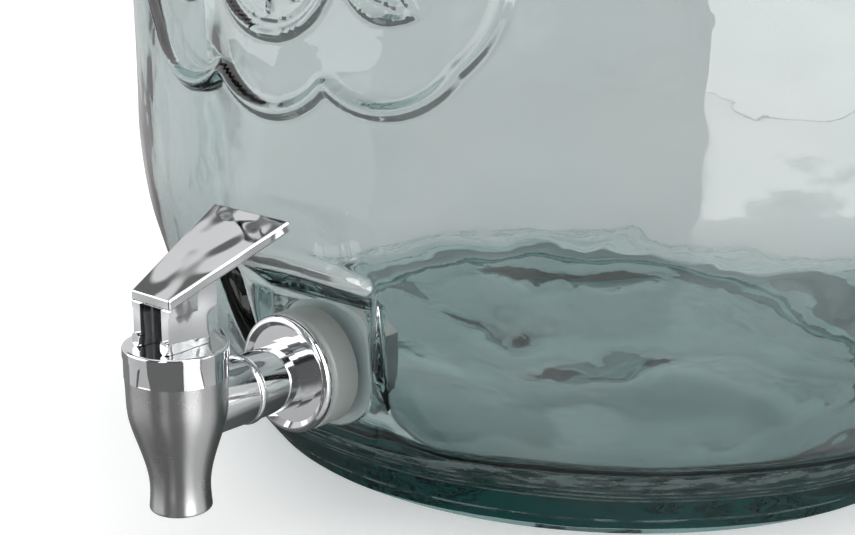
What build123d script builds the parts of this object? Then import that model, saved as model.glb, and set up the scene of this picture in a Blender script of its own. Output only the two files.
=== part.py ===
from build123d import *
import os
from math import cos, hypot, radians, sin, tan

# A glass cocktail dispenser: a moulded jar with a lever tap and a lift-off lid.
# Millimetres, +Z up. The origin is the centre of the jar's bearing edge, and the tap points along -Y.

# ---- glass jar -------------------------------------------------------------------------------------
body_radius = 140.0  # straight wall, outside
wall = 6.0
foot_inset = 36.0  # the bearing edge lies this far inside the straight wall
heel_inset = 13.4  # where the two arcs of the heel meet
heel_height = 35.0
heel_top = 92.0
straight_height = 173.0
shoulder_height = 80.0
shoulder_share = 0.72  # of the shoulder's bend that is convex
neck_radius = 70.0
neck_height = 27.0
lip_height = 8.0
lip_proud = 3.0
floor_thickness = 21.0
floor_corner = 10.0
push_up_width = 176.0
push_up_depth = 3.0

# ---- flat pad that the tap is clamped to -----------------------------------------------------------
pad_inset = 14.0  # pad face inside the straight wall's radius
pad_width = 40.0
pad_below = 18.0  # below the tap hole's axis
pad_above = 19.0
pad_thickness = 7.0
pad_draft = 42.0  # degrees, of its sides and top
pad_ledge = 20.0  # degrees, of its underside
boss_depth = 16.0
hole_height = 42.0
hole_radius = 8.0

# ---- raised frame on the wall ----------------------------------------------------------------------
frame_height = 145.0  # of its centre
frame_half_width = 64.0
frame_half_height = 38.0
frame_rim = 4.0
frame_proud = 1.8
frame_lobe = 0.22  # how far each scallop swells, as a share of its chord

# ---- tap: clamp ------------------------------------------------------------------------------------
shank_radius = 7.5
shank_bore = 4.2
thread_pitch = 2.0
thread_depth = 0.6
thread_crest = 0.4  # flat on top of each turn
thread_foot = 1.8
washer_radius = 15.2
washer_thickness = 8.0
washer_edge = 1.2
flange_radius = 15.2
flange_web = 2.0
flange_rim = 3.2  # its thickness, fully rounded
collar_radius = 8.9
collar_width = 2.2
inner_washer_radius = 17.0
inner_washer_thickness = 2.5
backing_radius = 16.0
backing_thickness = 1.2
nut_flats = 27.0
nut_thickness = 7.0
shank_tail = 4.0  # thread that stands out of the nut
neck_cover_radius = 8.2
bead_radius = 8.75
bead_width = 2.0
joint_reach = 20.8  # tap axis to the bead
spigot_length = 6.0
spigot_inset = 1.7  # spigot's radius inside the neck's

# ---- tap: body -------------------------------------------------------------------------------------
tap_reach = 45.0  # pad face to tap axis
tap_radius = 12.05
belly_radius = 11.4
waist_radius = 7.2
mouth_radius = 7.5
seam_above = 9.4  # bonnet's lower edge above the hole's axis
belly_below = 1.0
waist_below = 17.0
mouth_below = 23.9
mouth_slope = -0.1  # of the side at the mouth, outward for each unit up
seam_slope = 0.05
outlet_radius = 5.6
seat_radius = 4.2
seat_below = 9.0
seat_web = 2.4
chamber_radius = 8.2
collar_wall = 2.0
socket_radius = 5.7  # where the neck enters the body

# ---- tap: bonnet, stem and valve -------------------------------------------------------------------
bonnet_height = 7.5
bonnet_radius = 12.35
bonnet_band = 2.5
bonnet_skirt_inset = 0.2
bonnet_top = 3.9
guide_length = 4.0
guide_radius = 4.3
recess_count = 6
recess_turn = 11.0  # degrees, of the first recess
recess_width = 4.2
recess_height = 4.7
recess_side = 80.0  # degrees
recess_corner = 0.9
recess_depth = 0.5
stem_radius = 3.0
stem_shoulder = 6.9
shoulder_thickness = 1.4
stem_tail_radius = 2.0
stem_head = 2.6  # above the pin
plug_radius = 6.4
plug_thickness = 4.6
plug_taper = 30.0  # degrees, of the nose that enters the seat
stem_tail_length = 3.2
seal_section = 1.3
spring_wire = 0.8
spring_radius = 6.2
spring_turns = 5
thrust_thickness = 1.1

# ---- tap: lever ------------------------------------------------------------------------------------
pin_radius = 1.0
pin_above = 5.1  # above the bonnet
lever_front = 7.0
lever_front_width = 13.0
lever_rear = 24.7
lever_rear_width = 26.0
lever_slope = 23.5  # degrees
lever_thickness = 2.7
lever_lip_above = 10.3  # underside of the front lip above the bonnet
slot_width = 7.4
slot_rear = 1.7  # web that closes the fork at its rear
heel_back = 7.9
heel_round = 3.0
leg_back = 1.3
leg_step_above = 8.9
leg_step_inset = 0.4
cheek_inset = 0.8
pin_cover = 1.0  # of each cheek outside the pin's socket
nub_radius = 1.1
nub_length = 3.2
nub_proud = 0.7
lever_edge = 0.5

# ---- lid -------------------------------------------------------------------------------------------
lid_sheet = 1.2
lid_skirt = 14.0
lid_gap = 1.2
lid_bead = 1.4
lid_step_radius = 58.0
lid_dome = 7.0
gasket_width = 9.0
gasket_thickness = 2.0
knob_radius = 15.0
knob_foot_radius = 8.0
knob_foot_height = 5.0
screw_radius = 2.5
screw_head_radius = 4.6
screw_head_height = 2.6
screw_length = 14.0
knob_washer_radius = 9.0
knob_washer_thickness = 1.0

# ---- clearances ------------------------------------------------------------------------------------
fit = 0.1  # fixed pieces, on the radius
running = 0.05  # pins and the stem, on the radius
slack = 0.3  # pieces that pass each other
seat_gap = 0.1  # moving pieces that rest on a seat

# ---- worked out ------------------------------------------------------------------------------------
foot_radius = body_radius - foot_inset
heel_radius = body_radius - heel_inset
body_top = heel_top + straight_height
neck_base = body_top + shoulder_height
rim_top = neck_base + neck_height
push_up_radius = push_up_width / 2
pad_y = body_radius - pad_inset
tap_y = pad_y + tap_reach
seam_z = hole_height + seam_above
bonnet_z = seam_z + bonnet_height
mouth_z = hole_height - mouth_below
seat_z = hole_height - seat_below
collar_outer = chamber_radius + collar_wall
bonnet_ceiling = bonnet_z - bonnet_top
washer_y = pad_y + washer_thickness
flange_y = washer_y + flange_rim
collar_y = washer_y + flange_web
joint_y = tap_y - joint_reach
inside_y = pad_y - pad_thickness
backing_y = inside_y - inner_washer_thickness
nut_y = backing_y - backing_thickness
tail_y = nut_y - nut_thickness - shank_tail
pin_z = bonnet_z + pin_above
lever_bottom = bonnet_z + seat_gap

os.makedirs("parts", exist_ok=True)
tap_axis = Axis((0, -tap_y, 0), (0, 0, 1))
hole_axis = Axis((0, 0, hole_height), (0, -1, 0))
tap_profile = Plane(origin=(0, -tap_y, 0), x_dir=(1, 0, 0), z_dir=(0, -1, 0))
# here x is the radius from the hole's axis, and y the distance in front of the jar's axis
hole_profile = Plane(origin=(0, 0, hole_height), x_dir=(0, 0, 1), z_dir=(1, 0, 0))


def finish(piece, label):
    """Name a finished piece and write it."""
    piece.part.label = label
    export_step(piece.part, f"parts/{label}.step")


def across(distance):
    """The plane square to the hole's axis at a distance in front of the jar's axis, facing out."""
    return Plane(origin=(0, -distance, hole_height), x_dir=(1, 0, 0), z_dir=(0, -1, 0))


def section(inner, outer, low, high, mode=Mode.ADD):
    """A rectangle between two radii and two heights of a turned piece."""
    with Locations(((inner + outer) / 2, (low + high) / 2)):
        Rectangle(outer - inner, high - low, mode=mode)


def jar_outline(top):
    """The jar's outline from its bearing edge to the neck, which ends at a given height."""
    upper_heel = TangentArc((body_radius, heel_top), (heel_radius, heel_height), tangent=(0, -1))
    TangentArc((heel_radius, heel_height), (foot_radius, 0), tangent=upper_heel % 1)
    Line((body_radius, heel_top), (body_radius, body_top))
    bend = (
        body_radius + shoulder_share * (neck_radius - body_radius),
        body_top + shoulder_share * shoulder_height,
    )
    convex = TangentArc((body_radius, body_top), bend, tangent=(0, 1))
    TangentArc(bend, (neck_radius, neck_base), tangent=convex % 1)
    Line((neck_radius, neck_base), (neck_radius, top))


# ---- glass_jar: moulded glass, with a flat pad and a hole for the tap --------------------------------
pad_middle = (pad_above - pad_below) / 2
pad_height = pad_above + pad_below


def pad_block(face, depth):
    """A block that flares away from the pad, in front of its face or behind it."""
    spread = abs(depth) * tan(radians(pad_draft))
    drop = abs(depth) * tan(radians(pad_ledge))
    with BuildPart() as block:
        with BuildSketch(across(face)):
            with Locations((0, pad_middle)):
                Rectangle(pad_width, pad_height)
        with BuildSketch(across(face + depth)):
            with Locations((0, pad_middle + (spread - drop) / 2)):
                Rectangle(pad_width + 2 * spread, pad_height + spread + drop)
        loft(ruled=True)
    return block.part


with BuildPart() as cavity:
    with BuildSketch(Plane.XZ):
        with BuildLine():
            jar_outline(rim_top + 2 * wall)
            Polyline(
                (neck_radius, rim_top + 2 * wall),
                (-wall, rim_top + 2 * wall),
                (-wall, 0),
                (foot_radius, 0),
            )
        make_face()
        offset(amount=-wall, kind=Kind.INTERSECTION)
        Rectangle(4 * body_radius, 2 * floor_thickness, mode=Mode.SUBTRACT)
    revolve(axis=Axis.Z)
    floor_edge = edges().filter_by(GeomType.CIRCLE).sort_by(Axis.Z)[0]
    fillet(floor_edge, floor_corner)
    add(pad_block(inside_y, pad_inset + wall), mode=Mode.SUBTRACT)
    with BuildSketch(across(inside_y)):
        Circle(inner_washer_radius + slack)
    extrude(amount=-(pad_inset + wall))

# the raised frame on the wall: three scallops above, three below and one at each end
corner_x = 0.80 * frame_half_width
corner_z = 0.62 * frame_half_height
middle_x = 0.27 * frame_half_width
middle_z = 0.80 * frame_half_height
frame_corners = [
    (corner_x, -corner_z),
    (corner_x, corner_z),
    (middle_x, middle_z),
    (-middle_x, middle_z),
    (-corner_x, corner_z),
    (-corner_x, -corner_z),
    (-middle_x, -middle_z),
    (middle_x, -middle_z),
]

with BuildPart() as raised_frame:
    with BuildSketch(Plane(origin=(0, 0, frame_height), x_dir=(1, 0, 0), z_dir=(0, -1, 0))):
        with BuildLine():
            for start, end in zip(frame_corners, frame_corners[1:] + frame_corners[:1]):
                chord = hypot(end[0] - start[0], end[1] - start[1])
                SagittaArc(start, end, -frame_lobe * chord)
        make_face()
        offset(amount=-frame_rim, kind=Kind.ARC, mode=Mode.SUBTRACT)
    extrude(amount=2 * body_radius)
    with BuildSketch():
        Circle(body_radius + frame_proud)
        Circle(body_radius - wall / 2, mode=Mode.SUBTRACT)
    extrude(amount=rim_top, mode=Mode.INTERSECT)

with BuildPart() as glass_jar:
    with BuildSketch(Plane.XZ):
        with BuildLine():
            jar_outline(rim_top)
            Polyline(
                (neck_radius, rim_top),
                (0, rim_top),
                (0, push_up_depth),
                (push_up_radius - push_up_depth, push_up_depth),
                (push_up_radius, 0),
                (foot_radius, 0),
            )
        make_face()
        with Locations((neck_radius, rim_top - lip_height / 2)):
            RectangleRounded(2 * lip_proud, lip_height, 0.8 * lip_proud)
    revolve(axis=Axis.Z)
    add(pad_block(pad_y, -boss_depth))
    add(pad_block(pad_y, 2 * pad_inset), mode=Mode.SUBTRACT)
    add(cavity.part, mode=Mode.SUBTRACT)
    with BuildSketch(across(0)):
        Circle(hole_radius)
    extrude(amount=2 * body_radius, mode=Mode.SUBTRACT)

    add(raised_frame.part)

finish(glass_jar, "glass_jar")

# ---- washers, flange and nut that clamp the tap to the pad -------------------------------------------
with BuildPart() as outer_washer:
    with BuildSketch(hole_profile):
        section(shank_radius + fit, washer_radius, pad_y, washer_y)
    revolve(axis=hole_axis)
    front_edges = edges().filter_by(GeomType.CIRCLE).group_by(Axis.Y)[0]
    fillet(front_edges.sort_by(SortBy.RADIUS)[-1], washer_edge)
finish(outer_washer, "outer_washer")

rim_middle = flange_radius - flange_rim / 2
web_radius = rim_middle - (flange_rim - flange_web)

with BuildPart() as flange:
    with BuildSketch(hole_profile):
        with BuildLine():
            Line((shank_radius + fit, washer_y), (rim_middle, washer_y))
            ThreePointArc(
                (rim_middle, washer_y),
                (flange_radius, washer_y + flange_rim / 2),
                (rim_middle, flange_y),
            )
            Polyline(
                (rim_middle, flange_y),
                (web_radius, collar_y),
                (shank_radius + fit, collar_y),
                (shank_radius + fit, washer_y),
            )
        make_face()
    revolve(axis=hole_axis)
finish(flange, "flange")

with BuildPart() as inner_washer:
    with BuildSketch(hole_profile):
        section(shank_radius + fit, inner_washer_radius, backing_y, inside_y)
    revolve(axis=hole_axis)
finish(inner_washer, "inner_washer")

with BuildPart() as backing_washer:
    with BuildSketch(hole_profile):
        section(shank_radius + fit, backing_radius, nut_y, backing_y)
    revolve(axis=hole_axis)
finish(backing_washer, "backing_washer")

with BuildPart() as lock_nut:
    with BuildSketch(across(nut_y - nut_thickness)):
        RegularPolygon(nut_flats / 2, 6, major_radius=False, rotation=30)
        Circle(shank_radius + fit, mode=Mode.SUBTRACT)
    extrude(amount=nut_thickness)
finish(lock_nut, "lock_nut")

# ---- shank: a threaded tube through the glass, with a collar that presses on the flange ---------------
thread_root = shank_radius - thread_depth
spigot_radius = neck_cover_radius - spigot_inset
seal_major = spigot_radius - seal_section / 2

with BuildPart() as shank:
    with BuildSketch(hole_profile):
        section(shank_bore, thread_root, tail_y, collar_y)
        thread_start = tail_y + thread_pitch / 2
        thread_turns = int((collar_y - thread_pitch - thread_start) / thread_pitch)
        for turn in range(thread_turns):
            crest = thread_start + turn * thread_pitch
            with BuildLine():
                Polyline(
                    (thread_root - fit, crest - thread_foot / 2),
                    (shank_radius, crest - thread_crest / 2),
                    (shank_radius, crest + thread_crest / 2),
                    (thread_root - fit, crest + thread_foot / 2),
                    close=True,
                )
            make_face()
        section(shank_bore, collar_radius, collar_y, collar_y + collar_width)
        section(shank_bore, neck_cover_radius, collar_y + collar_width, joint_y)
        section(shank_bore, spigot_radius, joint_y, joint_y + spigot_length)
        section(
            spigot_radius - seal_section,
            neck_cover_radius,
            joint_y + spigot_length / 2,
            joint_y + spigot_length / 2 + seal_section,
            mode=Mode.SUBTRACT,
        )
    revolve(axis=hole_axis)
finish(shank, "shank")

with BuildPart() as neck_seal:
    with BuildSketch(hole_profile):
        with Locations((seal_major + fit / 2, joint_y + spigot_length / 2 + seal_section / 2)):
            Circle(seal_section / 2 - fit / 2)
    revolve(axis=hole_axis)
finish(neck_seal, "neck_seal")


# ---- tap_body: satin body with the outlet, the valve seat and the chamber over it ----------------------
def body_outline():
    """The tap body's outside, from its mouth to the bonnet's lower edge."""
    Spline(
        (mouth_radius, mouth_z),
        (waist_radius, hole_height - waist_below),
        (belly_radius, hole_height - belly_below),
        (tap_radius, seam_z),
        tangents=((mouth_slope, 1), (seam_slope, 1)),
    )


collar_top = bonnet_ceiling - seal_section - fit

with BuildPart() as body_envelope:
    with BuildSketch(tap_profile):
        with BuildLine():
            body_outline()
            Polyline((tap_radius, seam_z), (0, seam_z), (0, mouth_z), (mouth_radius, mouth_z))
        make_face()
    revolve(axis=tap_axis)

with BuildPart() as tap_body:
    add(body_envelope.part)
    with BuildSketch(tap_profile):
        section(0, collar_outer, seam_z, collar_top)
    revolve(axis=tap_axis)
    with BuildSketch(tap_profile):
        section(0, outlet_radius, mouth_z, seat_z - seat_web)
        section(0, seat_radius, seat_z - seat_web, seat_z)
        section(0, chamber_radius, seat_z, collar_top)
    revolve(axis=tap_axis, mode=Mode.SUBTRACT)
    with BuildSketch(across(tap_y)):
        Circle(socket_radius)
    extrude(amount=-tap_radius - wall, mode=Mode.SUBTRACT)
    fillet(edges().filter_by(GeomType.CIRCLE).group_by(Axis.Z)[0], (mouth_radius - outlet_radius) / 3)
finish(tap_body, "tap_body")

# ---- tap_neck: the chrome stub between the body and the shank, ending in a bead ------------------------
with BuildPart() as tap_neck:
    with BuildSketch(hole_profile):
        section(0, neck_cover_radius, joint_y, tap_y)
        with Locations((neck_cover_radius, joint_y + bead_width / 2)):
            Ellipse(bead_radius - neck_cover_radius, bead_width / 2)
    revolve(axis=hole_axis)
    add(body_envelope.part, mode=Mode.SUBTRACT)
    with BuildSketch(hole_profile):
        section(0, socket_radius - fit / 2, joint_y + spigot_length, tap_y - chamber_radius)
    revolve(axis=hole_axis)
    with BuildSketch(hole_profile):
        section(0, spigot_radius + fit / 2, joint_y, joint_y + spigot_length + fit)
        section(0, shank_bore, joint_y, tap_y)
    revolve(axis=hole_axis, mode=Mode.SUBTRACT)
finish(tap_neck, "tap_neck")

# ---- bonnet: screwed over the body's collar, with a guide for the stem ---------------------------------
bonnet_skirt_radius = bonnet_radius - bonnet_skirt_inset
bonnet_inner = collar_outer + fit
guide_bottom = bonnet_ceiling - guide_length

with BuildPart() as bonnet:
    with BuildSketch(tap_profile):
        section(0, bonnet_radius, bonnet_z - bonnet_band, bonnet_z)
        section(0, bonnet_skirt_radius, seam_z, bonnet_z - bonnet_band)
    revolve(axis=tap_axis)
    top_edge = edges().filter_by(GeomType.CIRCLE).group_by(Axis.Z)[-1]
    fillet(top_edge, bonnet_band / 4)
    with BuildSketch(tap_profile):
        section(0, bonnet_inner, seam_z, bonnet_ceiling)
    revolve(axis=tap_axis, mode=Mode.SUBTRACT)
    with BuildSketch(tap_profile):
        section(0, guide_radius, guide_bottom, bonnet_ceiling)
    revolve(axis=tap_axis)
    with BuildSketch(tap_profile):
        section(0, stem_radius + running, guide_bottom, bonnet_z)
    revolve(axis=tap_axis, mode=Mode.SUBTRACT)
    for turn in range(recess_count):
        angle = radians(recess_turn + turn * 360 / recess_count)
        recess_face = Plane(
            origin=(0, -tap_y, seam_z + recess_height / 2),
            x_dir=(cos(angle), sin(angle), 0),
            z_dir=(sin(angle), -cos(angle), 0),
        )
        with BuildSketch(recess_face.offset(bonnet_skirt_radius - recess_depth)):
            Trapezoid(recess_width, recess_height, recess_side)
            fillet(vertices().group_by(Axis.Y)[-1], recess_corner)
        extrude(amount=2 * recess_depth, mode=Mode.SUBTRACT)
finish(bonnet, "bonnet")

with BuildPart() as bonnet_seal:
    with BuildSketch(tap_profile):
        with Locations(((chamber_radius + collar_outer) / 2, collar_top + seal_section / 2 + fit / 2)):
            Circle(seal_section / 2)
    revolve(axis=tap_axis)
finish(bonnet_seal, "bonnet_seal")

# ---- stem, valve plug and return spring ----------------------------------------------------------------
plug_bottom = seat_z + seat_gap
plug_top = plug_bottom + plug_thickness
shoulder_top = plug_top + shoulder_thickness
thrust_top = bonnet_ceiling - seat_gap
thrust_bottom = thrust_top - thrust_thickness
pin_hole_radius = pin_radius + running
stem_seal_z = bonnet_ceiling - guide_length / 2

with BuildPart() as stem:
    with BuildSketch(tap_profile):
        section(0, stem_tail_radius, plug_top - stem_tail_length, plug_top)
        section(0, stem_shoulder, plug_top, shoulder_top)
        section(0, stem_radius, shoulder_top, pin_z + stem_head)
        section(
            stem_radius - seal_section,
            stem_radius,
            stem_seal_z,
            stem_seal_z + seal_section,
            mode=Mode.SUBTRACT,
        )
    revolve(axis=tap_axis)
    fillet(edges().filter_by(GeomType.CIRCLE).group_by(Axis.Z)[-1], stem_radius / 3)
    with BuildSketch(Plane(origin=(0, -tap_y, pin_z), x_dir=(0, 1, 0), z_dir=(1, 0, 0))):
        Circle(pin_hole_radius)
    extrude(amount=2 * stem_radius, both=True, mode=Mode.SUBTRACT)
finish(stem, "stem")

with BuildPart() as stem_seal:
    with BuildSketch(tap_profile):
        with Locations((stem_radius - seal_section / 2, stem_seal_z + seal_section / 2)):
            Circle(seal_section / 2 - running)
    revolve(axis=tap_axis)
finish(stem_seal, "stem_seal")

with BuildPart() as valve_plug:
    with BuildSketch(tap_profile):
        section(0, plug_radius, plug_bottom, plug_top)
    revolve(axis=tap_axis)
    fillet(edges().filter_by(GeomType.CIRCLE).group_by(Axis.Z)[-1], plug_thickness / 4)
    with BuildSketch(Plane(origin=(0, -tap_y, plug_bottom), z_dir=(0, 0, -1))):
        Circle(seat_radius - slack)
    extrude(amount=seat_web / 2, taper=plug_taper)
    with BuildSketch(tap_profile):
        section(0, stem_tail_radius + running, plug_top - stem_tail_length - running, plug_top)
    revolve(axis=tap_axis, mode=Mode.SUBTRACT)
finish(valve_plug, "valve_plug")

with BuildPart() as thrust_washer:
    with BuildSketch(tap_profile):
        section(guide_radius + slack / 2, chamber_radius - slack, thrust_bottom, thrust_top)
    revolve(axis=tap_axis)
finish(thrust_washer, "thrust_washer")

with BuildPart() as return_spring:
    spring_low = shoulder_top + spring_wire / 2 + running
    spring_high = thrust_bottom - spring_wire / 2 - running
    spring_height = spring_high - spring_low
    with BuildLine():
        pitch = spring_height / spring_turns
        coil = Helix(pitch, spring_height, spring_radius, center=(0, -tap_y, spring_low))
    with BuildSketch(Plane(origin=coil @ 0, z_dir=coil % 0)):
        Circle(spring_wire / 2)
    sweep(is_frenet=True)
finish(return_spring, "return_spring")

# ---- lever: a sloping plate over a fork whose rounded heel rocks on the bonnet ---------------------------
# here x is the distance in front of the tap's axis, and y the height
lever_side = Plane(origin=(0, -tap_y, 0), x_dir=(0, -1, 0), z_dir=(-1, 0, 0))
lip_bottom = bonnet_z + lever_lip_above
step_bottom = bonnet_z + leg_step_above
slope = tan(radians(lever_slope))
rear_rise = (lever_front + lever_rear) * slope
plate_rise_at_heel = (lever_front + heel_back) * slope
inner_slot = 2 * (stem_radius + slack)
leg_width = lever_front_width - 2 * leg_step_inset
cheek_width = lever_front_width - 2 * cheek_inset
step_back = leg_back - lever_thickness
pin_half = cheek_width / 2 - pin_cover

with BuildPart() as lever:
    with BuildSketch(lever_side):
        with BuildLine():
            Polyline(
                (lever_front, lip_bottom),
                (lever_front, lip_bottom + lever_thickness),
                (-lever_rear, lip_bottom + lever_thickness + rear_rise),
                (-lever_rear, lip_bottom + rear_rise),
                close=True,
            )
        make_face()
    extrude(amount=lever_rear_width, both=True)
    with BuildSketch(Plane(origin=(0, -tap_y, 0), x_dir=(0, -1, 0), z_dir=(0, 0, 1))):
        with BuildLine():
            Polyline(
                (lever_front, -lever_front_width / 2),
                (lever_front, lever_front_width / 2),
                (-lever_rear, lever_rear_width / 2),
                (-lever_rear, -lever_rear_width / 2),
                close=True,
            )
        make_face()
    extrude(amount=2 * tap_y, mode=Mode.INTERSECT)
    fillet(edges(), lever_edge)
    # the block under the plate's front, the step and the legs
    with BuildSketch(lever_side):
        with BuildLine():
            Polyline(
                (lever_front - lever_edge, lip_bottom),
                (lever_front - lever_edge, lip_bottom + lever_thickness / 2),
                (step_back, lip_bottom + (lever_front - step_back) * slope + lever_thickness / 2),
                (step_back, lip_bottom),
                close=True,
            )
        make_face()
        section(step_back, lever_front, step_bottom, lip_bottom)
    extrude(amount=lever_front_width / 2, both=True)
    with BuildSketch(lever_side):
        section(leg_back, lever_front, lever_bottom, step_bottom)
    extrude(amount=leg_width / 2, both=True)
    with BuildSketch(lever_side):
        with BuildLine():
            heel_tangent = (-heel_back, lever_bottom + heel_round)
            Polyline(
                (-heel_back + heel_round, lever_bottom),
                (lever_front / 2, lever_bottom),
                (lever_front / 2, lip_bottom + lever_thickness / 2),
                (-heel_back, lip_bottom + plate_rise_at_heel + lever_thickness / 2),
                heel_tangent,
            )
            RadiusArc(heel_tangent, (-heel_back + heel_round, lever_bottom), heel_round)
        make_face()
    extrude(amount=cheek_width / 2, both=True)
    with BuildSketch(lever_side):
        section(lever_front / 2, lever_front, lever_bottom, lip_bottom)
    extrude(amount=slot_width / 2, both=True, mode=Mode.SUBTRACT)
    with BuildSketch(lever_side):
        section(slot_rear - heel_back, lever_front, lever_bottom, lip_bottom)
    extrude(amount=inner_slot / 2, both=True, mode=Mode.SUBTRACT)
    with BuildSketch(lever_side):
        with Locations((0, pin_z)):
            Circle(pin_radius)
    extrude(amount=pin_half, both=True, mode=Mode.SUBTRACT)
    leg_fronts = Plane(origin=(0, -tap_y - lever_front, lever_bottom), x_dir=(1, 0, 0), z_dir=(0, -1, 0))
    leg_middle = (slot_width + leg_width) / 4
    with BuildSketch(leg_fronts):
        with Locations((-leg_middle, nub_length / 2), (leg_middle, nub_length / 2)):
            SlotOverall(nub_length, 2 * nub_radius, rotation=90)
    extrude(amount=nub_proud)
finish(lever, "lever")

with BuildPart() as lever_pin:
    with BuildSketch(lever_side):
        with Locations((0, pin_z)):
            Circle(pin_radius)
    extrude(amount=pin_half, both=True)
finish(lever_pin, "lever_pin")

# ---- lid -----------------------------------------------------------------------------------------------
gasket_bottom = rim_top + seat_gap
lid_under = gasket_bottom + gasket_thickness
lip_radius = neck_radius + lip_proud
skirt_inner = lip_radius + lid_gap
skirt_outer = skirt_inner + lid_sheet
skirt_bottom = lid_under - lid_skirt
dome_run = lid_dome  # the dome's side slopes at 45 degrees
dome_top = lid_under + lid_dome + lid_sheet

with BuildPart() as lid_gasket:
    with BuildSketch(Plane.XZ):
        section(skirt_inner - fit - gasket_width, skirt_inner - fit, gasket_bottom, lid_under)
    revolve(axis=Axis.Z)
finish(lid_gasket, "lid_gasket")

with BuildPart() as lid_shell:
    with BuildSketch(Plane.XZ):
        with BuildLine():
            Polyline(
                (screw_radius + fit, lid_under + lid_dome),
                (lid_step_radius - dome_run, lid_under + lid_dome),
                (lid_step_radius, lid_under),
                (skirt_inner, lid_under),
                (skirt_inner, skirt_bottom),
                (skirt_outer, skirt_bottom),
                (skirt_outer, lid_under + lid_sheet),
                (lid_step_radius + lid_sheet, lid_under + lid_sheet),
                (lid_step_radius + lid_sheet - dome_run, dome_top),
                (screw_radius + fit, dome_top),
                close=True,
            )
        make_face()
        with Locations((skirt_outer, skirt_bottom + lid_bead)):
            Circle(lid_bead)
    revolve(axis=Axis.Z)
    skirt_edges = edges().filter_by(GeomType.CIRCLE)
    skirt_edges = skirt_edges.filter_by(lambda edge: abs(edge.radius - skirt_outer) < fit)
    fillet(skirt_edges.sort_by(Axis.Z)[-1], lid_sheet)
finish(lid_shell, "lid_shell")

knob_bottom = dome_top + knob_washer_thickness
with BuildPart() as knob_washer:
    with BuildSketch(Plane.XZ):
        section(screw_radius + fit, knob_washer_radius, dome_top, knob_bottom)
    revolve(axis=Axis.Z)
finish(knob_washer, "knob_washer")

ball_centre = knob_bottom + knob_foot_height + knob_radius
with BuildPart() as lid_knob:
    with BuildSketch(Plane.XZ):
        with Locations((0, ball_centre)):
            Circle(knob_radius)
        section(0, knob_foot_radius, knob_bottom, ball_centre)
        with Locations((-knob_radius, ball_centre)):
            Rectangle(2 * knob_radius, 4 * knob_radius, mode=Mode.SUBTRACT)
    revolve(axis=Axis.Z)
    with BuildSketch(Plane.XY.offset(knob_bottom)):
        Circle(screw_radius + fit / 2)
    extrude(amount=screw_length, mode=Mode.SUBTRACT)
finish(lid_knob, "lid_knob")

with BuildPart() as knob_screw:
    with BuildSketch(Plane.XZ):
        section(0, screw_radius, lid_under + lid_dome, knob_bottom + screw_length - 2 * fit)
        section(0, screw_head_radius, lid_under + lid_dome - screw_head_height, lid_under + lid_dome)
    revolve(axis=Axis.Z)
    head_face = faces().sort_by(Axis.Z)[0]
    fillet(head_face.edges(), screw_head_height / 3)
finish(knob_screw, "knob_screw")
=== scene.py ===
from math import atan2, ceil, cos, pi, radians, sin, tan

import bmesh
import bpy
import numpy as np
from mathutils import Matrix, Vector


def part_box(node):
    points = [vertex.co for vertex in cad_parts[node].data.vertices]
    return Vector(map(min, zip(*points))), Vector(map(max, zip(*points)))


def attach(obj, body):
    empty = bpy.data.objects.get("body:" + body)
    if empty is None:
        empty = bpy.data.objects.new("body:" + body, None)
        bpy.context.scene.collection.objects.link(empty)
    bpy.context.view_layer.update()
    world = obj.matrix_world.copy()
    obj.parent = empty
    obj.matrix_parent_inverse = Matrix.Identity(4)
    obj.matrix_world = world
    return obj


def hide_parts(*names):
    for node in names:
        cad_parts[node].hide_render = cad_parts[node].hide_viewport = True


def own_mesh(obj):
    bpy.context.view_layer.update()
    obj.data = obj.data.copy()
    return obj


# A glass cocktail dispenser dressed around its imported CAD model. Metres; +Z up; the tap points along -Y.

MM = 0.001


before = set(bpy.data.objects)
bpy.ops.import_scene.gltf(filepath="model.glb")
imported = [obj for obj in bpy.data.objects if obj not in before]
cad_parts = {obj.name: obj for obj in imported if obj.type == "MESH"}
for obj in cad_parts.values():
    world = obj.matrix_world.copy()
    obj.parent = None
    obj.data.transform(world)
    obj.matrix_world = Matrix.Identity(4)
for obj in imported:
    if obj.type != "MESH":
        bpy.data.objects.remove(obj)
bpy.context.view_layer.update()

# ---- sizes that the frame gives --------------------------------------------------------------------
body_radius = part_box("glass_jar")[1].x
rim_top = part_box("glass_jar")[1].z
pad_y = -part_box("outer_washer")[1].y  # the pad's face, in front of the jar's axis
inside_y = -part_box("inner_washer")[0].y
hole_height = (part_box("shank")[0].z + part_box("shank")[1].z) / 2
tap_y = -(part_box("tap_body")[0].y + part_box("tap_body")[1].y) / 2

# ---- sizes of the glass, as in the CAD model ---------------------------------------------------------
wall = 6.0 * MM
foot_radius = body_radius - 36.0 * MM
heel_radius = body_radius - 13.4 * MM
heel_height = 35.0 * MM
heel_top = 92.0 * MM
body_top = 265.0 * MM
neck_radius = 70.0 * MM
neck_base = 345.0 * MM
shoulder_share = 0.72
lip_height = 8.0 * MM
lip_proud = 3.0 * MM
floor_thickness = 21.0 * MM
floor_corner = 10.0 * MM
push_up_radius = 88.0 * MM
push_up_depth = 3.0 * MM
pad_inset = body_radius - pad_y
pad_half_width = 20.0 * MM
pad_low = hole_height - 18.0 * MM
pad_high = hole_height + 19.0 * MM
pad_draft = tan(radians(42.0))
pad_ledge = tan(radians(20.0))
hole_radius = 8.0 * MM
washer_pocket = 17.3 * MM  # the radius of the recess round the inner washer
frame_centre = 145.0 * MM  # the raised frame's middle, above the table
frame_half_width = 64.0 * MM
frame_half_height = 38.0 * MM
frame_rim = 4.0 * MM
frame_proud = 1.8 * MM
frame_lobe = 0.22  # how far each scallop swells, as a share of its chord

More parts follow.
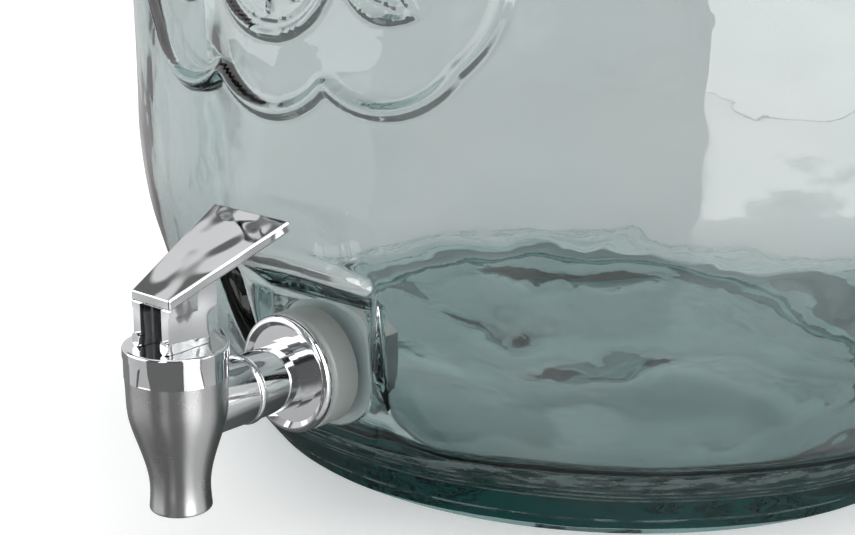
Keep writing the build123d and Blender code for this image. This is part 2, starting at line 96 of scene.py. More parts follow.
# ---- sizes of the glass that only the look has -------------------------------------------------------
pad_round = 3.4 * MM  # softness of the pad's edges
inside_draft = tan(radians(28.0))  # steeper than the CAD model's slopes
inside_round = 4.0 * MM
seat_clearance = 0.04 * MM  # between the glass and each washer
slice_proud = 1.5 * MM
rind_radius = 19.0 * MM
pith_radius = 15.4 * MM
spoke_start = 2.5 * MM
spoke_end = 14.0 * MM
spoke_count = 9
leaf_proud = 1.3 * MM
outer_wave = 0.22 * MM
outer_grain = 0.05 * MM
inner_wave = 0.45 * MM
floor_wave = 0.5 * MM

# ---- how finely the glass is meshed ------------------------------------------------------------------
fine_step = 0.9 * MM
coarse_step = 4.0 * MM
fine_reach = 92.0 * MM  # round the wall, either side of the tap
sharp_from = 50.0  # degrees between faces


# ======================================================================================================
# Shader helpers
# ======================================================================================================
def put(tree, kind, inputs=None, **settings):
    """A node of a kind, with its settings and its inputs set or linked."""
    made = tree.nodes.new(kind)
    for name, value in settings.items():
        setattr(made, name, value)
    for name, value in (inputs or {}).items():
        if isinstance(value, bpy.types.NodeSocket):
            tree.links.new(value, made.inputs[name])
        else:
            made.inputs[name].default_value = value
    return made


def new_material(name):
    """An empty node material and its tree."""
    material = bpy.data.materials.new(name)
    material.use_nodes = True
    material.node_tree.nodes.clear()
    return material, material.node_tree


def object_coordinates(tree):
    return put(tree, "ShaderNodeTexCoord").outputs["Object"]


def ramp(tree, factor, stops, interpolation="LINEAR"):
    """A colour ramp through (position, colour) stops."""
    made = put(tree, "ShaderNodeValToRGB", {"Fac": factor})
    band = made.color_ramp
    band.interpolation = interpolation
    while len(band.elements) > 1:
        band.elements.remove(band.elements[-1])
    band.elements[0].position = stops[0][0]
    band.elements[0].color = (*stops[0][1], 1)
    for position, colour in stops[1:]:
        band.elements.new(position).color = (*colour, 1)
    return made.outputs["Color"]


def grey(value):
    return (value, value, value)


def noise(tree, vector, scale, detail=3.0, roughness=0.55):
    inputs = {"Vector": vector, "Scale": scale, "Detail": detail, "Roughness": roughness}
    return put(tree, "ShaderNodeTexNoise", inputs).outputs["Fac"]


def reckon(tree, operation, *values):
    """The outcome of a sum on values and numbers."""
    return put(tree, "ShaderNodeMath", dict(enumerate(values)), operation=operation).outputs["Value"]


def scaled(tree, value, factor):
    """A value times a number or another value."""
    return reckon(tree, "MULTIPLY", value, factor)


def level(tree, factor, stops):
    """A value through (position, value) stops."""
    colour = ramp(tree, factor, [(position, grey(value)) for position, value in stops], "EASE")
    return put(tree, "ShaderNodeRGBToBW", {"Color": colour}).outputs["Val"]


def reckon_vector(tree, operation, *values):
    """The node of a sum on vectors."""
    return put(tree, "ShaderNodeVectorMath", dict(enumerate(values)), operation=operation)


def stretched(tree, vector, scale):
    """Coordinates multiplied by a different number along each axis."""
    return reckon_vector(tree, "MULTIPLY", vector, scale).outputs["Vector"]


def length_of(tree, vector):
    return reckon_vector(tree, "LENGTH", vector).outputs["Value"]


def reach_along(tree, vector, direction):
    """How far a vector reaches in a direction."""
    return reckon_vector(tree, "DOT_PRODUCT", vector, direction).outputs["Value"]


def raised(tree, value):
    """A value between -1 and 1 moved to between 0 and 1, for a ramp."""
    return reckon(tree, "MULTIPLY_ADD", value, 0.5, 0.5)


def grey_vector(tree, value):
    """A value as a grey colour."""
    return put(tree, "ShaderNodeCombineXYZ", {"X": value, "Y": value, "Z": value}).outputs["Vector"]


def bump(tree, height, distance, strength=1.0, normal=None):
    inputs = {"Height": height, "Distance": distance, "Strength": strength}
    if normal is not None:
        inputs["Normal"] = normal
    return put(tree, "ShaderNodeBump", inputs).outputs["Normal"]


def surface(tree, inputs, **others):
    """A Principled shader joined to the material's output, with the output's other inputs."""
    shader = put(tree, "ShaderNodeBsdfPrincipled", inputs)
    put(tree, "ShaderNodeOutputMaterial", {"Surface": shader.outputs["BSDF"], **others})


# ======================================================================================================
# Materials
# ======================================================================================================
def foot_frost(tree, place):
    """Where the glass is dull: in bands and fine rings round the outside of the foot."""
    reach, wide = 40.0 * MM, 160.0 * MM  # how far the ramps go up and across
    underside_top, foot_side = 17.0 * MM, 112.0 * MM  # the inside has no dull bands
    rings = [(4.6, 0.0), (5.2, 1.0), (6.2, 0.0), (12.8, 0.0), (13.3, 0.7), (14.0, 0.0), (14.7, 0.7)]
    rings += [(15.4, 0.0), (16.1, 0.7), (17.0, 0.1), (18.0, 0.8), (21.0, 0.8), (22.5, 0.0)]
    height = put(tree, "ShaderNodeSeparateXYZ", {"Vector": place}).outputs["Z"]
    up = scaled(tree, height, 1 / reach)
    across = scaled(tree, length_of(tree, stretched(tree, place, (1, 1, 0))), 1 / wide)
    dull = level(tree, up, [(rise * MM / reach, amount) for rise, amount in rings])
    low = level(tree, up, [(underside_top / reach, 1.0), (underside_top / reach + 0.005, 0.0)])
    outside = level(tree, across, [(foot_side / wide, 0.0), (foot_side / wide + 0.01, 1.0)])
    return scaled(tree, dull, reckon(tree, "MAXIMUM", low, outside))


def glass_material():
    """Recycled glass: grey green, slightly rippled, and stippled where it stands."""
    material, tree = new_material("recycled_glass")
    place = object_coordinates(tree)
    ripple = noise(tree, place, 55.0, detail=2.0)
    orange_peel = noise(tree, place, 420.0, detail=2.0)
    normal = bump(tree, ripple, 0.5 * MM, strength=0.5)
    normal = bump(tree, orange_peel, 0.01 * MM, strength=0.5, normal=normal)
    streaks = noise(tree, stretched(tree, place, (1, 1, 5)), 110.0)
    frosted = scaled(tree, foot_frost(tree, place), level(tree, streaks, [(0.40, 0.1), (0.56, 1.0)]))
    grain = scaled(tree, frosted, noise(tree, stretched(tree, place, (1, 1, 3)), 350.0))
    normal = bump(tree, grain, 0.4 * MM, normal=normal)
    depth = {"Color": (0.25, 0.585, 0.575, 1), "Density": 30.0}
    surface(
        tree,
        {
            "Base Color": ramp(tree, frosted, [(0.0, grey(1.0)), (1.0, (0.72, 0.93, 0.90))]),
            "Roughness": scaled(tree, frosted, 0.4),
            "IOR": 1.52,
            "Transmission Weight": reckon(tree, "SUBTRACT", 1.0, scaled(tree, frosted, 0.16)),
            "Normal": normal,
        },
        Volume=put(tree, "ShaderNodeVolumeAbsorption", depth).outputs["Volume"],
    )
    return material


def metal_material(name, colour, roughness, blotch, fine_scale, fine_depth, waves=0.0):
    """Plated metal with faint handling marks in its gloss, and waves in a moulded plate."""
    material, tree = new_material(name)
    place = object_coordinates(tree)
    smears = noise(tree, place, 90.0, detail=4.0)
    gloss = ramp(tree, smears, [(0.35, grey(roughness)), (0.7, grey(roughness + blotch))])
    tone = ramp(tree, smears, [(0.3, colour), (0.8, tuple(0.93 * part for part in colour))])
    normal = bump(tree, noise(tree, place, fine_scale), fine_depth, strength=0.4)
    if waves:
        normal = bump(tree, noise(tree, place, 55.0, detail=1.0), waves, normal=normal)
    surface(tree, {"Base Color": tone, "Metallic": 1.0, "Roughness": gloss, "Normal": normal})
    return material


def soft_material(name, colour, roughness, transmission, scatter):
    """Silicone or rubber with a fine moulded grain."""
    material, tree = new_material(name)
    place = object_coordinates(tree)
    clouds = noise(tree, place, 120.0)
    tone = ramp(tree, clouds, [(0.3, tuple(0.9 * part for part in colour)), (0.75, colour)])
    normal = bump(tree, noise(tree, place, 900.0), 0.03 * MM, strength=0.4)
    surface(
        tree,
        {
            "Base Color": tone,
            "Roughness": roughness,
            "IOR": 1.41,
            "Transmission Weight": transmission,
            "Subsurface Weight": scatter,
            "Subsurface Radius": (1.0, 1.0, 1.0),
            "Subsurface Scale": 2.0 * MM,
            "Normal": normal,
        },
    )
    return material


# ======================================================================================================
# The glass jar
# ======================================================================================================
def tangent_arc(start, direction, end, step):
    """Points after start along the arc that leaves start in a direction and reaches end.

    Returns the points, the directions at them and the direction at the end.
    """
    start, direction, end = (np.asarray(value, float) for value in (start, direction, end))
    direction = direction / np.linalg.norm(direction)
    side = np.array((-direction[1], direction[0]))
    chord = end - start
    radius = chord @ chord / (2 * (chord @ side))
    turn = 2 * atan2(chord @ side, chord @ direction)
    count = max(2, ceil(abs(radius * turn) / step))
    angles = turn * np.arange(1, count + 1) / count
    along, across = np.sin(angles)[:, None], (1 - np.cos(angles))[:, None]
    points = start + radius * (along * direction + across * side)
    directions = np.cos(angles)[:, None] * direction + along * side
    return points, directions, directions[-1]


def straight(start, end, step):
    """Points after start along a line, and the direction at each."""
    start, end = np.asarray(start, float), np.asarray(end, float)
    count = max(1, ceil(np.linalg.norm(end - start) / step))
    shares = np.arange(1, count + 1)[:, None] / count
    direction = (end - start) / np.linalg.norm(end - start)
    return start + shares * (end - start), np.repeat(direction[None], count, 0)


def outer_profile():
    """Points and directions up the outside, from the bearing edge to the neck, without relief."""
    upper = tangent_arc((body_radius, heel_top), (0, -1), (heel_radius, heel_height), fine_step)
    lower = tangent_arc((heel_radius, heel_height), upper[2], (foot_radius, 0), fine_step)
    bend = (
        body_radius + shoulder_share * (neck_radius - body_radius),
        body_top + shoulder_share * (neck_base - body_top),
    )
    fine_top = 0.75 * body_top
    side = straight((body_radius, heel_top), (body_radius, fine_top), fine_step)
    side_high = straight((body_radius, fine_top), (body_radius, body_top), coarse_step)
    convex = tangent_arc((body_radius, body_top), (0, 1), bend, coarse_step)
    concave = tangent_arc(bend, convex[2], (neck_radius, neck_base), 0.6 * coarse_step)
    rising = (side, side_high, convex, concave)
    points = [lower[0][::-1], upper[0][::-1], [(body_radius, heel_top)]] + [run[0] for run in rising]
    directions = [-lower[1][::-1], -upper[1][::-1], [(0, 1)]] + [run[1] for run in rising]
    return np.vstack(points), np.vstack(directions)


def inner_profile(points, directions):
    """Points down the inside, from the neck to the edge of the flat floor."""
    normals = np.column_stack((directions[:, 1], -directions[:, 0]))
    inside = points - wall * normals
    centres = inside - floor_corner * normals
    lowest = floor_thickness + floor_corner
    first = int(np.argmax(centres[:, 1] > lowest))
    share = (lowest - centres[first - 1, 1]) / (centres[first, 1] - centres[first - 1, 1])
    normal = normals[first - 1] + share * (normals[first] - normals[first - 1])
    centre = centres[first - 1] + share * (centres[first] - centres[first - 1])
    start = atan2(normal[1], normal[0])
    angles = np.linspace(start, -pi / 2, 14)
    corner = centre + floor_corner * np.column_stack((np.cos(angles), np.sin(angles)))
    return np.vstack((inside[:first - 1:-2], corner))


def rounded(corners, radii, step):
    """Points along the runs between corners, each inner corner rounded with its radius."""
    corners = [np.asarray(corner, float) for corner in corners]
    points, last = [corners[0][None]], corners[0]
    for before, corner, after, radius in zip(corners, corners[1:], corners[2:], radii):
        into = (corner - before) / np.linalg.norm(corner - before)
        out = (after - corner) / np.linalg.norm(after - corner)
        turn = atan2(into[0] * out[1] - into[1] * out[0], into @ out)
        reach = radius * tan(abs(turn) / 2)
        start, end = corner - reach * into, corner + reach * out
        points.append(straight(last, start, step)[0])
        points.append(tangent_arc(start, into, end, step)[0])
        last = end
    points.append(straight(last, corners[-1], step)[0])
    return np.vstack(points)


def soft_least(first, second, reach):
    """The lesser of two surfaces, blended where they are within reach of each other."""
    near = np.clip(0.5 + 0.5 * (second - first) / reach, 0, 1)
    return second + (first - second) * near - reach * near * (1 - near)


def soft_most(first, second, reach):
    return -soft_least(-first, -second, reach)


def beyond_pad(heights, draft):
    """How far the slopes above and below the pad stand from its face at a height."""
    return np.maximum((pad_low - heights) / pad_ledge, (heights - pad_high) / draft)


def pad_recess(angles, heights, face, draft, blend):
    """How far out the glass may reach over the pad, whose face lies in front of the jar's axis."""
    ahead, aside = np.cos(angles), np.abs(np.sin(angles))
    flat = face / np.maximum(ahead, 0.05) + 0 * heights
    tall = (face + beyond_pad(heights, draft)) / np.maximum(ahead, 0.05)
    slant = ahead - aside / draft
    wide = np.where(
        slant > 0.02, (face - pad_half_width / draft) / np.maximum(slant, 0.02), 2 * body_radius
    ) + 0 * heights
    reach = soft_most(soft_most(flat, tall, blend), wide, blend)
    return np.where(ahead > 0.5, reach, 2 * body_radius)


def pad_boss(angles, heights, face):
    """How far out the pad itself reaches where it stands proud of the heel."""
    ahead, aside = np.cos(angles), np.abs(np.sin(angles))
    flat = face / np.maximum(ahead, 0.05) + 0 * heights
    tall = (face - beyond_pad(heights, pad_draft)) / np.maximum(ahead, 0.05)
    wide = (face + pad_half_width / pad_draft) / (ahead + aside / pad_draft) + 0 * heights
    reach = soft_least(soft_least(flat, tall, pad_round), wide, pad_round)
    return np.where(ahead > 0.5, reach, 0)


def ripples(points, seed, shortest, longest, count=24):
    """Smooth random waves through space, with a root mean square of about 1."""
    random = np.random.default_rng(seed)
    total = np.zeros(points.shape[:-1])
    for _ in range(count):
        direction = random.normal(size=3)
        direction /= np.linalg.norm(direction)
        length = random.uniform(shortest, longest)
        total += np.sin(points @ (2 * pi * direction / length) + random.uniform(0, 2 * pi))
    return total / np.sqrt(count / 2)


# ---- relief on the wall: heights over x, sideways, and z, up, both from the middle of the frame ------
def ridge(distance, half_width):
    """A rounded ridge, 1 high, as wide as the distance from its middle line allows."""
    share = np.clip(np.abs(distance) / half_width, 0, 1)
    return (0.5 + 0.5 * np.cos(pi * share)) ** 0.7


def arc_distance(across, up, start, end, lobe):
    """Distance to an arc that bulges to the right of the way from start to end, and what lies under it."""
    start, end = np.asarray(start, float), np.asarray(end, float)
    chord = end - start
    length = np.linalg.norm(chord)
    outward = np.array((chord[1], -chord[0])) / length
    rise = lobe * length
    radius = (length ** 2 / 4 + rise ** 2) / (2 * rise)
    centre = (start + end) / 2 + (rise - radius) * outward
    away = np.hypot(across - centre[0], up - centre[1])
    beyond = (across - start[0]) * outward[0] + (up - start[1]) * outward[1]
    swing = (across - centre[0]) * outward[0] + (up - centre[1]) * outward[1]
    on_arc = swing > (radius - rise) / radius * away
    ends = np.minimum(
        np.hypot(across - start[0], up - start[1]), np.hypot(across - end[0], up - end[1])
    )
    return np.where(on_arc, np.abs(away - radius), ends), (away < radius) & (beyond > 0), beyond <= 0


def frame_relief(across, up):
    """The scalloped frame: three lobes above and below, and one at each end."""
    corner = (0.80 * frame_half_width, 0.62 * frame_half_height)
    middle = (0.27 * frame_half_width, 0.80 * frame_half_height)
    corners = [
        (corner[0], -corner[1]), corner, middle, (-middle[0], middle[1]), (-corner[0], corner[1]),
        (-corner[0], -corner[1]), (-middle[0], -middle[1]), (middle[0], -middle[1]),
    ]
    nearest = np.full(across.shape, 1.0)
    inside_all = np.ones(across.shape, bool)
    bulges = np.zeros(across.shape, bool)
    for start, end in zip(corners, corners[1:] + corners[:1]):
        distance, bulge, behind = arc_distance(across, up, start, end, frame_lobe)
        nearest = np.minimum(nearest, distance)
        inside_all &= behind
        bulges |= bulge
    inward = np.where(inside_all | bulges, nearest, -nearest)
    return frame_proud * ridge(inward - frame_rim / 2, 0.62 * frame_rim)


def leaf_relief(across, up, foot, bearing, length):
    """A leaf with a raised edge and midrib, from its foot along a bearing in degrees."""
    along_x, along_z = sin(radians(bearing)), cos(radians(bearing))
    along = (across - foot[0]) * along_x + (up - foot[1]) * along_z
    aside = np.abs((across - foot[0]) * along_z - (up - foot[1]) * along_x)
    share = along / length
    half = 0.24 * length * np.sin(pi * np.clip(share, 0, 1)) ** 0.8
    rim = np.hypot(np.maximum(np.abs(share - 0.5) - 0.5, 0) * length, aside - half)
    edge = ridge(rim, 1.3 * MM)
    rib = ridge(np.hypot(np.maximum(np.abs(share - 0.4) - 0.4, 0) * length, aside), 1.0 * MM)
    return leaf_proud * np.maximum(edge, 0.7 * rib)


def slice_relief(across, up):
    """A round fruit slice: a rind, a thin pith line and spokes."""
    away = np.hypot(across, up)
    bearing = np.arctan2(across, up)
    rind = ridge(away - rind_radius, 1.8 * MM)
    pith = 0.5 * ridge(away - pith_radius, 0.9 * MM)
    swing = np.abs((bearing * spoke_count / (2 * pi)) % 1 - 0.5) * 2 * pi / spoke_count
    spoke = ridge(away * np.sin(np.minimum(swing, pi / 2)), 1.1 * MM)
    spoke = spoke * (away < spoke_end) * (away > spoke_start)
    return slice_proud * np.maximum(np.maximum(rind, pith), 0.7 * spoke)


def relief(across, up):
    """All the raised work on the wall."""
    total = np.maximum(frame_relief(across, up), slice_relief(across, up - 1 * MM))
    for side in (-1, 1):
        for foot_x, foot_z, bearing, length in (
            (22.5, 4.0, 62.0, 17.0),
            (22.0, -3.5, 112.0, 19.0),
            (36.5, 2.0, 85.0, 14.0),
        ):
            leaf = leaf_relief(across * side, up, (foot_x * MM, foot_z * MM), bearing, length * MM)
            total = np.maximum(total, leaf)
    return total


def closed_grid(radii, heights, angles):
    """A mesh around the Z axis from rows of radii and heights, closed by a point at each end."""
    rows, columns = radii.shape
    rings = np.stack((radii * np.sin(angles), -radii * np.cos(angles), heights), -1).reshape(-1, 3)
    ends = np.array(((0, 0, heights[0].mean()), (0, 0, heights[-1].mean())))
    row, column = np.meshgrid(np.arange(rows - 1), np.arange(columns), indexing="ij")
    following = (column + 1) % columns
    here, above = row * columns, (row + 1) * columns
    quads = np.stack((here + column, here + following, above + following, above + column), -1)
    faces = quads.reshape(-1, 4).tolist()
    first, last = rows * columns, rows * columns + 1
    around = np.arange(columns)
    nexts = (around + 1) % columns
    faces += np.stack((nexts, around, np.full(columns, first)), -1).tolist()
    top = (rows - 1) * columns
    faces += np.stack((top + around, top + nexts, np.full(columns, last)), -1).tolist()
    mesh = bpy.data.meshes.new("glass_jar_form")
    mesh.from_pydata(np.vstack((rings, ends)).tolist(), [], faces)
    mesh.update()
    return mesh


def new_object(name, mesh, material):
    made = bpy.data.objects.new(name, mesh)
    bpy.context.scene.collection.objects.link(made)
    mesh.materials.clear()
    mesh.materials.append(material)
    mesh.shade_smooth()
    return made


def jar_angles():
    """Bearings of the mesh's columns from the tap, close together where the relief is."""
    fine = np.arange(-fine_reach, fine_reach, fine_step) / body_radius
    rest = 2 * pi - 2 * fine_reach / body_radius
    count = ceil(rest * body_radius / coarse_step)
    coarse = fine_reach / body_radius + rest * np.arange(count) / count
    return np.concatenate((fine, coarse))


def cut_bore(piece, radius, front, back):
    """Cut a round hole along the tap hole's axis, between two distances in front of the jar's axis."""
    drill = bmesh.new()
    turned = Matrix.Translation((0, -(front + back) / 2, hole_height)) @ Matrix.Rotation(pi / 2, 4, "X")
    bmesh.ops.create_cone(
        drill, cap_ends=True, segments=96, radius1=radius, radius2=radius, depth=front - back, matrix=turned
    )
    mesh = bpy.data.meshes.new("drill")
    drill.to_mesh(mesh)
    drill.free()
    cutter = new_object("drill", mesh, piece.data.materials[0])
    cut = piece.modifiers.new("bore", "BOOLEAN")
    cut.object = cutter
    cut.operation = "DIFFERENCE"
    cut.solver = "MANIFOLD"
    bpy.context.view_layer.update()
    bored = bpy.data.meshes.new_from_object(piece.evaluated_get(bpy.context.evaluated_depsgraph_get()))
    piece.modifiers.clear()
    piece.data = bored
    bpy.data.objects.remove(cutter)


def build_jar(material):
    """The jar: its profile turned about the axis, with ripples, relief and pad, then bored for the tap."""
    angles = jar_angles()
    outer, directions = outer_profile()
    under = rounded(
        [
            (2 * MM, push_up_depth),
            (push_up_radius - push_up_depth, push_up_depth),
            (push_up_radius, 0),
            (foot_radius - 1 * MM, 0),
        ],
        [2 * MM, 2 * MM],
        coarse_step,
    )
    lip_outer = neck_radius + lip_proud
    lip_low = rim_top - lip_height
    lip = rounded(
        [
            (neck_radius, neck_base),
            (neck_radius, lip_low),
            (lip_outer, lip_low),
            (lip_outer, rim_top),
            (neck_radius - wall, rim_top),
            (neck_radius - wall, neck_base),
        ],
        [1.4 * MM, 1.4 * MM, 2.4 * MM, 2.4 * MM],
        2 * MM,
    )[1:-1]
    inner = inner_profile(outer, directions)
    floor = straight(inner[-1], (2 * MM, floor_thickness), 2.5 * MM)[0]
    profile = np.vstack((under, outer, lip, inner, floor))
    ends = np.cumsum([len(part) for part in (under, outer, lip, inner, floor)])
    outside, inside, flat = slice(ends[0], ends[1]), slice(ends[2], ends[3]), slice(ends[3], ends[4])
    radii = np.repeat(profile[:, :1], len(angles), 1)
    heights = np.repeat(profile[:, 1:], len(angles), 1)
    points = np.stack((radii * np.sin(angles), -radii * np.cos(angles), heights), -1)

    # ripples outside, which never stand out past the plain form, and none on the pad
    plain = radii[outside].copy()
    slack = outer_wave * (ripples(points[outside], 3, 40 * MM, 110 * MM) - 2.2)
    slack += outer_grain * ripples(points[outside], 4, 12 * MM, 26 * MM)
    fade = np.clip(heights[outside] / (25 * MM), 0, 1)
    skin = radii[outside] + fade * np.minimum(slack, 0)
    across = plain * np.sin(angles)
    skin = skin + np.where(np.cos(angles) > 0.3, relief(across, heights[outside] - frame_centre), 0)
    face = pad_y - seat_clearance
    skin = soft_most(skin, pad_boss(angles, heights[outside], face), pad_round)
    recess = pad_recess(angles, heights[outside], face, pad_draft, pad_round)
    radii[outside] = soft_least(skin, recess, pad_round)

    bore = radii[inside] + inner_wave * ripples(points[inside], 5, 30 * MM, 90 * MM)
    fade = np.clip((rim_top - heights[inside]) / (30 * MM), 0, 1)
    bore = radii[inside] + fade * (bore - radii[inside])
    face = inside_y + seat_clearance
    recess = pad_recess(angles, heights[inside], face, inside_draft, inside_round)
    radii[inside] = soft_least(bore, recess, inside_round)
    calm = np.clip(radii[flat] / (20 * MM), 0, 1)
    heights[flat] += calm * floor_wave * ripples(points[flat], 6, 22 * MM, 60 * MM)

    jar = new_object("glass_jar_shell", closed_grid(radii, heights, angles), material)
    cut_bore(jar, hole_radius, pad_y + pad_inset, inside_y - wall)
    cut_bore(jar, washer_pocket, face, face - 3 * wall)
    jar.data.shade_smooth()
    jar.data.set_sharp_from_angle(angle=radians(sharp_from))
    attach(jar, "jar")
    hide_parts("glass_jar")


# ======================================================================================================
# Finishes of the CAD nodes, and the return spring
# ======================================================================================================
def dress_nodes():
    """Each CAD node gets the material of the real piece."""
    satin = metal_material("satin_plate", grey(0.70), 0.26, 0.02, 700.0, 0.002 * MM)
    chrome = metal_material("chrome_plate", (0.86, 0.87, 0.88), 0.035, 0.05, 60.0, 0.03 * MM)
    wavy_chrome = metal_material("lever_chrome", (0.86, 0.87, 0.88), 0.03, 0.05, 60.0, 0.03 * MM, 2.5 * MM)
    steel = metal_material("stainless_steel", (0.66, 0.65, 0.63), 0.28, 0.10, 500.0, 0.01 * MM)
    spring = metal_material("spring_steel", (0.45, 0.45, 0.46), 0.35, 0.10, 900.0, 0.01 * MM)
    clear_silicone = soft_material("clear_silicone", (0.60, 0.64, 0.62), 0.35, 0.4, 0.0)
    inner_silicone = soft_material("inner_silicone", (0.95, 0.97, 0.96), 0.5, 0.0, 1.0)
    plug_silicone = soft_material("plug_silicone", (0.85, 0.86, 0.85), 0.45, 0.0, 0.5)
    rubber = soft_material("seal_rubber", (0.02, 0.02, 0.02), 0.5, 0.0, 0.0)
    plastic = soft_material("stem_plastic", (0.08, 0.08, 0.085), 0.4, 0.0, 0.0)
    finishes = {
        satin: ["tap_body"],
        chrome: ["bonnet", "tap_neck", "shank", "flange", "lid_knob"],
        wavy_chrome: ["lever"],
        steel: ["lock_nut", "backing_washer", "lever_pin", "thrust_washer", "knob_screw", "lid_shell"],
        spring: ["return_spring"],
        clear_silicone: ["outer_washer", "lid_gasket"],
        inner_silicone: ["inner_washer"],
        plug_silicone: ["valve_plug", "knob_washer"],
        rubber: ["bonnet_seal", "neck_seal", "stem_seal"],
        plastic: ["stem"],
    }
    for material, names in finishes.items():
        for name in names:
            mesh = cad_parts[name].data
            mesh.materials.clear()
            mesh.materials.append(material)


def fit_spring():
    """The return spring, copied from its CAD node and carried with the turner."""
    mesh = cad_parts["return_spring"].data.copy()
    spring = bpy.data.objects.new("return_spring_coil", mesh)
    bpy.context.scene.collection.objects.link(spring)
    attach(spring, "turner")
    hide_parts("return_spring")
    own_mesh(spring)


# ======================================================================================================
# Camera, floor and light
# ======================================================================================================
camera_position = Vector((271.8, -397.2, 178.4)) * MM
camera_bearing = radians(40.823)  # of the line of sight, round the jar from -Y towards +X
camera_pitch = radians(16.117)  # downwards
camera_roll = radians(0.58)
focal_pixels = 1600.0
frame_pixels = 855.0  # the picture's width
sensor = 36.0  # millimetres, over that width


def place_camera():
    data = bpy.data.cameras.new("camera")
    data.sensor_width = sensor
    data.lens = sensor * focal_pixels / frame_pixels
    data.clip_start = 10 * MM
    camera = bpy.data.objects.new("camera", data)
    bpy.context.scene.collection.objects.link(camera)
    ahead = Vector((
        -sin(camera_bearing) * cos(camera_pitch),
        cos(camera_bearing) * cos(camera_pitch),
        -sin(camera_pitch),
    ))
    right = Vector((cos(camera_bearing), sin(camera_bearing), 0))
    up = right.cross(ahead)
    rolled_right = cos(camera_roll) * right + sin(camera_roll) * up
    rolled_up = cos(camera_roll) * up - sin(camera_roll) * right
    turn = Matrix((rolled_right, rolled_up, -ahead)).transposed()
    camera.matrix_world = Matrix.Translation(camera_position) @ turn.to_4x4()
    bpy.context.scene.camera = camera


def toward(bearing, distance, height):
    """A place at a bearing from the camera's side of the jar, positive to the camera's right, in degrees."""
    angle = camera_bearing + radians(bearing)
    return Vector((sin(angle) * distance, -cos(angle) * distance, height))


def softbox(name, place, target, width, tall, radiance):
    """A rectangular lamp of a given brightness, which the camera doesn't see, even through the glass."""
    data = bpy.data.lights.new(name, "AREA")
    data.shape = "RECTANGLE"
    data.size = width
    data.size_y = tall
    data.energy = radiance * pi * width * tall
    lamp = bpy.data.objects.new(name, data)
    bpy.context.scene.collection.objects.link(lamp)
    turn = (target - place).to_track_quat("-Z", "Y").to_matrix().to_4x4()
    lamp.matrix_world = Matrix.Translation(place) @ turn
    lamp.visible_camera = False
    lamp.visible_transmission = False
    return lamp


def tap_side(bearing, distance, height):
    """A place at a bearing from the camera's side of the tap, as toward gives for the jar."""
    return toward(bearing, distance, height) + Vector((0, -tap_y, 0))


right_box_bearing = 29.5


def light_scene():
    """A wide lamp overhead, and four upright boxes that only the gloss mirrors."""
    above, jar_middle = Vector((0, 0, 1.6)), Vector((0, 0, 0.12))
    softbox("overhead", above, jar_middle, width=1.6, tall=1.6, radiance=0.8)
    for name, place, bearing, distance, height, width, tall, radiance in (
        ("right_box", toward, right_box_bearing, 0.71, 0.501, 0.45, 1.0, 5.6),
        ("left_box", toward, -25.2, 0.73, 0.47, 0.15, 0.6, 3.0),
        ("side_box", tap_side, -84.0, 0.75, 0.36, 0.80, 0.7, 2.0),
        ("far_box", tap_side, 92.0, 0.75, 0.36, 0.80, 0.7, 1.0),
    ):
        ahead = place(bearing, 0.0, height)
        box = softbox(name, place(bearing, distance, height), ahead, width, tall, radiance)
        box.visible_diffuse = False


def choose(tree, switch, plain, chosen):
    """One brightness, or another where a switch is on."""
    made = put(tree, "ShaderNodeMix")
    for socket, value in ((made.inputs[0], switch), (made.inputs[2], plain), (made.inputs[3], chosen)):
        if isinstance(value, bpy.types.NodeSocket):
            tree.links.new(value, socket)
        else:
            socket.default_value = value
    return made.outputs[0]


def scattered(tree, path):
    """1 on a ray that lights something, and 0 on one that the camera sees through or in the object."""
    return reckon(tree, "MINIMUM", path.outputs["Diffuse Depth"], 1.0)


def world_light():
    """White where the camera sees it, a grey backdrop through the glass and a dim room in the metal."""
    world = bpy.data.worlds.new("studio")
    bpy.context.scene.world = world
    world.use_nodes = True
    tree = world.node_tree
    tree.nodes.clear()
    path = put(tree, "ShaderNodeLightPath")
    direction = put(tree, "ShaderNodeTexCoord").outputs["Generated"]
    facing = raised(tree, reach_along(tree, direction, toward(0.0, 1.0, 0.0)))
    upward = put(tree, "ShaderNodeSeparateXYZ", {"Vector": direction}).outputs["Z"]
    backdrop = level(tree, facing, [(0.0, 0.62), (0.22, 0.60), (0.40, 0.45), (0.62, 0.25)])
    low_band = level(tree, upward, [(0.02, 1.0), (0.10, 0.25), (0.33, 0.25), (0.45, 1.0)])
    room = level(tree, facing, [(0.30, 0.70), (0.50, 0.40), (0.64, 0.12)])
    ceiling = level(tree, upward, [(0.46, 1.0), (0.54, 0.2), (0.61, 0.2), (0.66, 1.0)])
    plain = 0.9
    strength = choose(tree, path.outputs["Is Glossy Ray"], plain, scaled(tree, room, ceiling))
    strength = choose(tree, path.outputs["Is Transmission Ray"], strength, scaled(tree, backdrop, low_band))
    strength = choose(tree, scattered(tree, path), strength, plain)
    strength = choose(tree, path.outputs["Is Camera Ray"], strength, 1.0)
    background = put(tree, "ShaderNodeBackground", {"Color": (1, 1, 1, 1), "Strength": strength})
    put(tree, "ShaderNodeOutputWorld", {"Surface": background.outputs["Background"]})


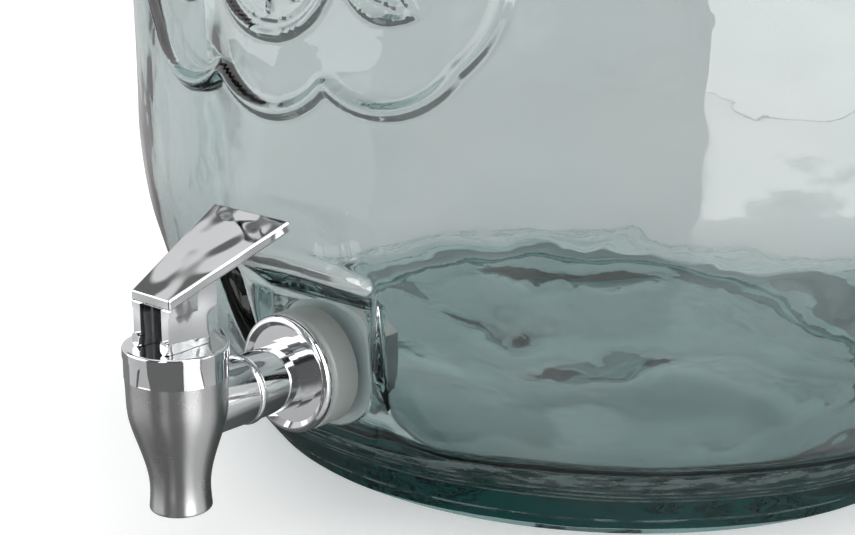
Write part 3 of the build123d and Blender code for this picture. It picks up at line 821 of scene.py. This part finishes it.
def white_paint(tree, place, path):
    """The floor as the camera sees it: white, with the object's shadow.

    Through the glass it is grey beyond the jar, and under the jar it glows, most at the far side.
    """
    white, beyond_jar, seen_glow = 0.92, 0.58, 0.28
    away = scaled(tree, length_of(tree, place), 2.0)
    through = choose(tree, scattered(tree, path), path.outputs["Is Transmission Ray"], 0.0)
    tone = choose(tree, through, white, level(tree, away, [(0.22, white), (0.32, beyond_jar)]))
    inputs = {"Base Color": grey_vector(tree, tone), "Roughness": 0.6, "Specular IOR Level": 0.2}
    paint = put(tree, "ShaderNodeBsdfPrincipled", inputs)
    nearer = raised(tree, reach_along(tree, place, toward(0.0, 10.0, 0.0)))
    fading = level(tree, nearer, [(0.1, 0.30), (0.5, 0.24), (0.8, 0.07), (0.95, 0.0)])
    under = scaled(tree, fading, level(tree, away, [(0.19, 1.0), (0.25, 0.0)]))
    glow = choose(tree, path.outputs["Is Camera Ray"], scaled(tree, through, under), seen_glow)
    lit = put(tree, "ShaderNodeEmission", {"Strength": glow})
    both = put(tree, "ShaderNodeAddShader", {0: paint.outputs["BSDF"], 1: lit.outputs["Emission"]})
    return both.outputs["Shader"]


def dark_table(tree, place):
    """The floor as the metal and the glass mirror it: a dark table, lighter in places.

    Painted pools of light make it lighter on the tap's right and far behind, with a bright sheet in front of
    the right box.
    """
    from_tap = reckon_vector(tree, "ADD", place, (0, tap_y, 0)).outputs["Vector"]
    span = scaled(tree, length_of(tree, from_tap), 2.0)
    bearing = reckon_vector(tree, "NORMALIZE", from_tap).outputs["Vector"]
    # painted light: a pool of light on the table at the tap's right, brightest near the tap, for the metal
    # to mirror
    rightward = raised(tree, reach_along(tree, bearing, toward(66.0, 1.0, 0.0)))
    near = level(tree, span, [(0.16, 0.50), (0.40, 0.12)])
    painted_light_right = scaled(tree, level(tree, rightward, [(0.86, 0.0), (0.95, 1.0)]), near)
    # painted light: the table far behind the tap is made lighter, for the metal to mirror
    forward = raised(tree, reach_along(tree, bearing, toward(0.0, 1.0, 0.0)))
    far = level(tree, span, [(0.5, 0.0), (0.9, 1.0)])
    behind = scaled(tree, level(tree, forward, [(0.30, 0.45), (0.45, 0.0)]), far)
    from_jar = reckon_vector(tree, "NORMALIZE", place).outputs["Vector"]
    before_box = raised(tree, reach_along(tree, from_jar, toward(right_box_bearing, 1.0, 0.0)))
    strip = level(tree, length_of(tree, place), [(0.44, 0.0), (0.50, 1.0), (0.76, 1.0), (0.80, 0.0)])
    sheet = scaled(tree, level(tree, before_box, [(0.972, 0.0), (0.978, 1.0)]), strip)
    table_grey, sheet_grey = 0.14, 0.6
    dim = reckon(tree, "ADD", painted_light_right, reckon(tree, "ADD", behind, table_grey))
    dim = reckon(tree, "ADD", dim, scaled(tree, sheet, sheet_grey))
    inputs = {"Base Color": grey_vector(tree, dim), "Roughness": 0.04, "IOR": 1.5, "Metallic": sheet}
    return put(tree, "ShaderNodeBsdfPrincipled", inputs).outputs["BSDF"]


def lay_floor():
    """A white floor that keeps the shadow, and that metal and glass mirror as a dark table."""
    material, tree = new_material("white_floor")
    place = object_coordinates(tree)
    path = put(tree, "ShaderNodeLightPath")
    mirrored = choose(tree, path.outputs["Is Transmission Ray"], path.outputs["Is Glossy Ray"], 0.0)
    inputs = {0: mirrored, 1: white_paint(tree, place, path), 2: dark_table(tree, place)}
    shown = put(tree, "ShaderNodeMixShader", inputs)
    put(tree, "ShaderNodeOutputMaterial", {"Surface": shown.outputs["Shader"]})
    half = 4.0  # metres, of the floor's side
    corners = [(-half, -half, 0), (half, -half, 0), (half, half, 0), (-half, half, 0)]
    mesh = bpy.data.meshes.new("floor")
    mesh.from_pydata(corners, [], [(0, 1, 2, 3)])
    new_object("floor", mesh, material)


place_camera()
world_light()
light_scene()
lay_floor()
dress_nodes()
fit_spring()
build_jar(glass_material())

bpy.context.scene.view_settings.view_transform = "Standard"
